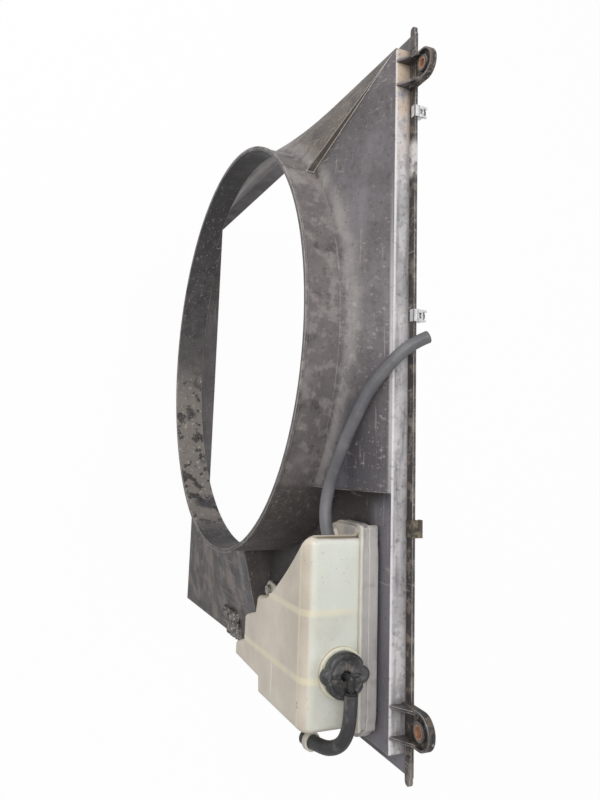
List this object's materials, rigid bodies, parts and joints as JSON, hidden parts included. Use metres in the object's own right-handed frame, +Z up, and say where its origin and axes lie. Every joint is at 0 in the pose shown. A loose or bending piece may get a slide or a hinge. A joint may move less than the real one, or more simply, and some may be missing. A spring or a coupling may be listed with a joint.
{
  "type": "radiator fan shroud",
  "caption": "Moulded radiator fan shroud: flanged rectangular hood with an offset round fan ring, two bushed ears and a translucent overflow tank with a winged cap and hoses.",
  "frame": {"origin": "midway between the two ear holes, on the face that meets the radiator", "axes": "+X along the width of the car towards the tank, +Y towards the radiator, +Z up"},
  "size_m": [0.716, 0.105, 0.7212],
  "materials": {
    "shroud_plastic": "dusty satin",
    "bush_steel": "rusted",
    "zinc_steel": "dull zinc",
    "hook_steel": "worn",
    "tank_plastic": "translucent satin",
    "tank_rim_plastic": "translucent satin",
    "cap_plastic": "satin",
    "seal_rubber": "matte",
    "hose_rubber": "semi-matte",
    "elbow_plastic": "gloss",
    "sealing_compound": "crumpled, shiny"
  },
  "bodies": {
    "shroud": {"shroud_moulding": "shroud_plastic", "ear_bush_left": "bush_steel", "ear_bush_right": "bush_steel", "edge_nut_left": "zinc_steel", "edge_nut_middle": "zinc_steel", "edge_hook_right": "hook_steel", "tank_front_shell": "tank_plastic", "tank_rear_shell": "tank_rim_plastic", "tank_screw": "zinc_steel", "tank_screw_nut": "zinc_steel", "radiator_hose": "hose_rubber", "vent_hose": "hose_rubber", "cap_elbow": "elbow_plastic", "sealing_strip": "sealing_compound"},
    "cap": {"tank_cap": "cap_plastic", "tank_cap_seal": "seal_rubber"}
  },
  "joints": [
    {"name": "cap_turn", "type": "hinge", "parent": "shroud", "child": "cap", "pos_m": [0.267, -0.058, -0.037], "axis": [0, 0, 1], "range_deg": [0, 90]}
  ]
}
